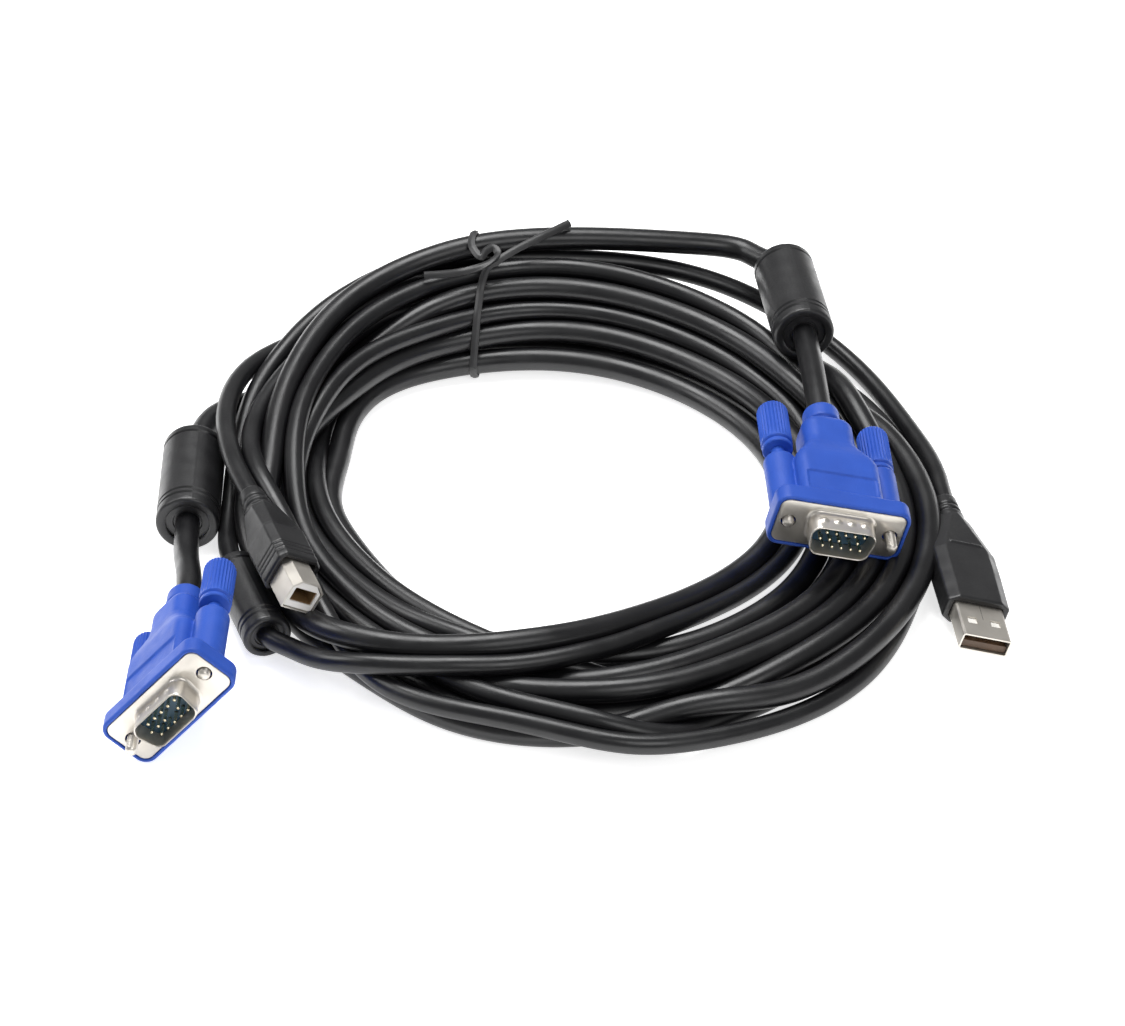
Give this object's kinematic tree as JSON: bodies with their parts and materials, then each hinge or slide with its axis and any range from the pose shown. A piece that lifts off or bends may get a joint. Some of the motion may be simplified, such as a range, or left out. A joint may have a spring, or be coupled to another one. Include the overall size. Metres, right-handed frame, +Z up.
{
  "type": "kvm cable",
  "caption": "Coiled KVM cable set tied with a twist tie: a VGA lead with blue screw-in plugs and a USB A-to-B lead, with ferrite blocks near the ends.",
  "frame": {"origin": "on the table, under the middle of the whole set's box", "axes": "+X to the right in the picture, from the switch-end plugs to the computer-end plugs; -Y to the viewer, the way the plugs point; +Z up"},
  "size_m": [0.2088, 0.189, 0.0357],
  "materials": {
    "cable": "satin PVC",
    "moulding": "satin PVC",
    "hood": "fine matte texture",
    "insulator": "semi-matte",
    "shell": "bright nickel plate",
    "contact": "nickel-plated brass",
    "core": "sintered ferrite",
    "usb_insulator": "matte",
    "tie": "satin"
  },
  "bodies": {
    "cable_set": {"cable_coil": "cable", "computer_usb_a_overmould": "moulding", "computer_usb_a_shell": "shell", "computer_usb_a_tongue": "usb_insulator", "computer_usb_lead": "cable", "computer_vga_ferrite_core": "core", "computer_vga_ferrite_jacket": "moulding", "computer_vga_hood": "hood", "computer_vga_insulator": "insulator", "computer_vga_lead": "cable", "computer_vga_pin_01": "contact", "computer_vga_pin_02": "contact", "computer_vga_pin_03": "contact", "computer_vga_pin_04": "contact", "computer_vga_pin_05": "contact", "computer_vga_pin_06": "contact", "computer_vga_pin_07": "contact", "computer_vga_pin_08": "contact", "computer_vga_pin_10": "contact", "computer_vga_pin_11": "contact", "computer_vga_pin_12": "contact", "computer_vga_pin_13": "contact", "computer_vga_pin_14": "contact", "computer_vga_pin_15": "contact", "computer_vga_shell": "shell", "switch_usb_b_core": "usb_insulator", "switch_usb_b_overmould": "moulding", "switch_usb_b_shell": "shell", "switch_usb_lead": "cable", "switch_vga_ferrite_core": "core", "switch_vga_ferrite_jacket": "moulding", "switch_vga_hood": "hood", "switch_vga_insulator": "insulator", "switch_vga_lead": "cable", "switch_vga_pin_01": "contact", "switch_vga_pin_02": "contact", "switch_vga_pin_03": "contact", "switch_vga_pin_04": "contact", "switch_vga_pin_05": "contact", "switch_vga_pin_06": "contact", "switch_vga_pin_07": "contact", "switch_vga_pin_08": "contact", "switch_vga_pin_10": "contact", "switch_vga_pin_11": "contact", "switch_vga_pin_12": "contact", "switch_vga_pin_13": "contact", "switch_vga_pin_14": "contact", "switch_vga_pin_15": "contact", "switch_vga_shell": "shell", "twist_tie": "tie", "usb_ferrite_core": "core", "usb_ferrite_jacket": "moulding"},
    "computer_vga_left_screw_body": {"computer_vga_left_screw": "shell"},
    "computer_vga_left_knob_body": {"computer_vga_left_knob": "hood"},
    "computer_vga_right_screw_body": {"computer_vga_right_screw": "shell"},
    "computer_vga_right_knob_body": {"computer_vga_right_knob": "hood"},
    "switch_vga_left_screw_body": {"switch_vga_left_screw": "shell"},
    "switch_vga_left_knob_body": {"switch_vga_left_knob": "hood"},
    "switch_vga_right_screw_body": {"switch_vga_right_screw": "shell"},
    "switch_vga_right_knob_body": {"switch_vga_right_knob": "hood"}
  },
  "joints": [
    {"name": "computer_vga_left_screw_slide", "type": "slide", "parent": "cable_set", "child": "computer_vga_left_screw_body", "axis": [-0.054, 0.9974, 0.0471], "range_m": [-0.0038, 0]},
    {"name": "computer_vga_left_knob_turn", "type": "hinge", "parent": "computer_vga_left_screw_body", "child": "computer_vga_left_knob_body", "pos_m": [0.05049, 0.00634, 0.02446], "axis": [-0.054, 0.9974, 0.0471], "continuous": true},
    {"name": "computer_vga_right_screw_slide", "type": "slide", "parent": "cable_set", "child": "computer_vga_right_screw_body", "axis": [-0.054, 0.9974, 0.0471], "range_m": [0, 0.0038]},
    {"name": "computer_vga_right_knob_turn", "type": "hinge", "parent": "computer_vga_right_screw_body", "child": "computer_vga_right_knob_body", "pos_m": [0.07492, 0.00414, 0.01837], "axis": [-0.054, 0.9974, 0.0471], "continuous": true},
    {"name": "switch_vga_left_screw_slide", "type": "slide", "parent": "cable_set", "child": "switch_vga_left_screw_body", "axis": [0.0174, 0.9975, -0.068], "range_m": [0, 0.0038]},
    {"name": "switch_vga_left_knob_turn", "type": "hinge", "parent": "switch_vga_left_screw_body", "child": "switch_vga_left_knob_body", "pos_m": [-0.0971, -0.05843, 0.00517], "axis": [0.0174, 0.9975, -0.068], "continuous": true},
    {"name": "switch_vga_right_screw_slide", "type": "slide", "parent": "cable_set", "child": "switch_vga_right_screw_body", "axis": [0.0174, 0.9975, -0.068], "range_m": [-0.0038, 0]},
    {"name": "switch_vga_right_knob_turn", "type": "hinge", "parent": "switch_vga_right_screw_body", "child": "switch_vga_right_knob_body", "pos_m": [-0.0801, -0.05369, 0.02326], "axis": [0.0174, 0.9975, -0.068], "continuous": true}
  ]
}
